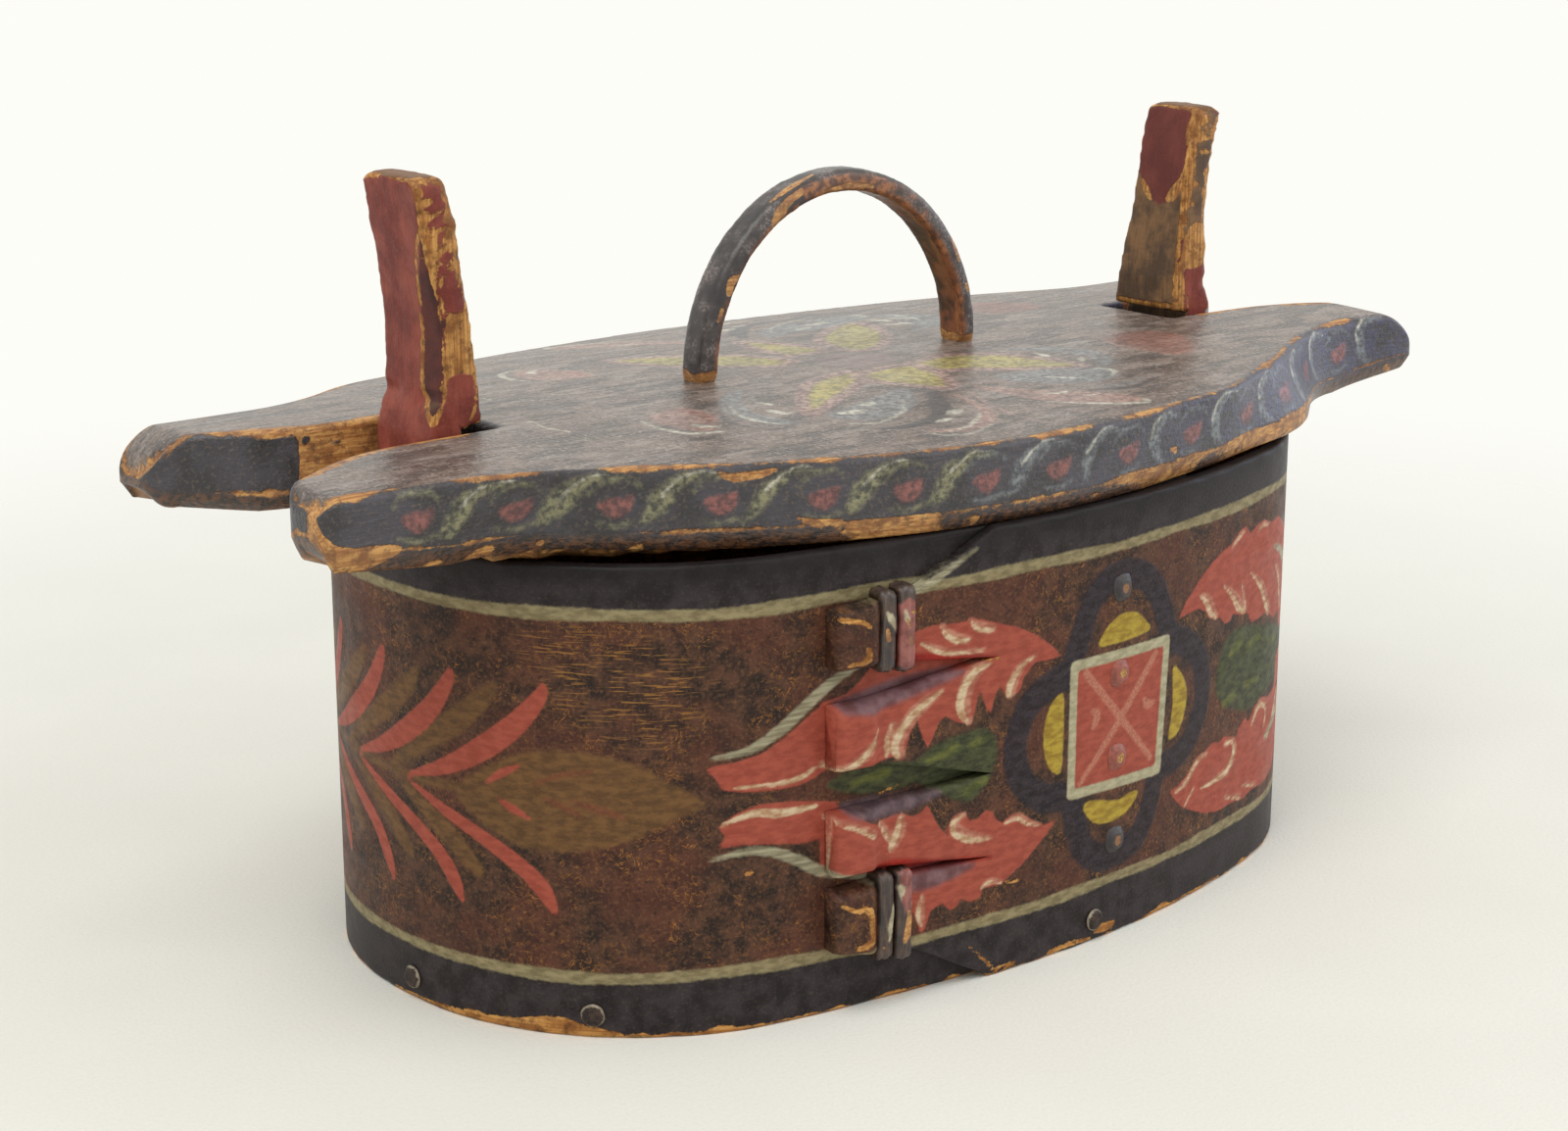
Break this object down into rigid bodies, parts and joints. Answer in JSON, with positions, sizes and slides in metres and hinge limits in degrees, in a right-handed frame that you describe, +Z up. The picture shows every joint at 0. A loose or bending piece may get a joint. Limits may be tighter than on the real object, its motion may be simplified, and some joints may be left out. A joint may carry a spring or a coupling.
{
  "type": "bentwood tine box",
  "caption": "Oval bentwood box with a lapped and laced band, springy end posts that snap over a forked lid, and an arched carrying handle.",
  "frame": {"origin": "middle of the oval box on the surface it stands on", "axes": "+X along the box's long axis to the right as seen from the lapped front, +Y to the back, +Z up"},
  "size_m": [0.314, 0.1525, 0.1695],
  "materials": {
    "band_paint": "old oil paint with folk ornament, worn to the wood",
    "lid_paint": "faded and rubbed oil paint",
    "post_paint": "worn oxblood paint",
    "handle_wood": "dark, hand polished",
    "bare_wood": "bare softwood",
    "peg_wood": "painted over, worn",
    "root": "split root, painted over",
    "iron": "forged, rusted"
  },
  "bodies": {
    "box": {"band": "band_paint", "base_board": "bare_wood", "base_nail_1": "iron", "base_nail_2": "iron", "base_nail_3": "iron", "base_nail_4": "iron", "base_nail_5": "iron", "base_nail_6": "iron", "base_nail_7": "iron", "base_nail_8": "iron", "lap_peg_1": "peg_wood", "lap_peg_2": "peg_wood", "lap_peg_3": "peg_wood", "lap_peg_4": "peg_wood", "lashing_top": "root", "lashing_bottom": "root"},
    "lid_unit": {"lid": "lid_paint", "handle": "handle_wood", "handle_wedge_left": "bare_wood", "handle_wedge_right": "bare_wood"},
    "left_post": {"post_left": "post_paint"},
    "right_post": {"post_right": "post_paint"}
  },
  "joints": [
    {"name": "lid_lift", "type": "slide", "parent": "box", "child": "lid_unit", "axis": [0, 0, 1], "range_m": [0, 0.11]},
    {"name": "post_left_flex", "type": "hinge", "parent": "box", "child": "left_post", "pos_m": [-0.10625, 0, 0.005], "axis": [0, 1, 0], "range_deg": [-1.1, 2.8], "stiffness_Nm_per_rad": 40},
    {"name": "post_right_flex", "type": "hinge", "parent": "box", "child": "right_post", "pos_m": [0.10625, 0, 0.005], "axis": [0, -1, 0], "range_deg": [-1.1, 2.8], "stiffness_Nm_per_rad": 40}
  ]
}
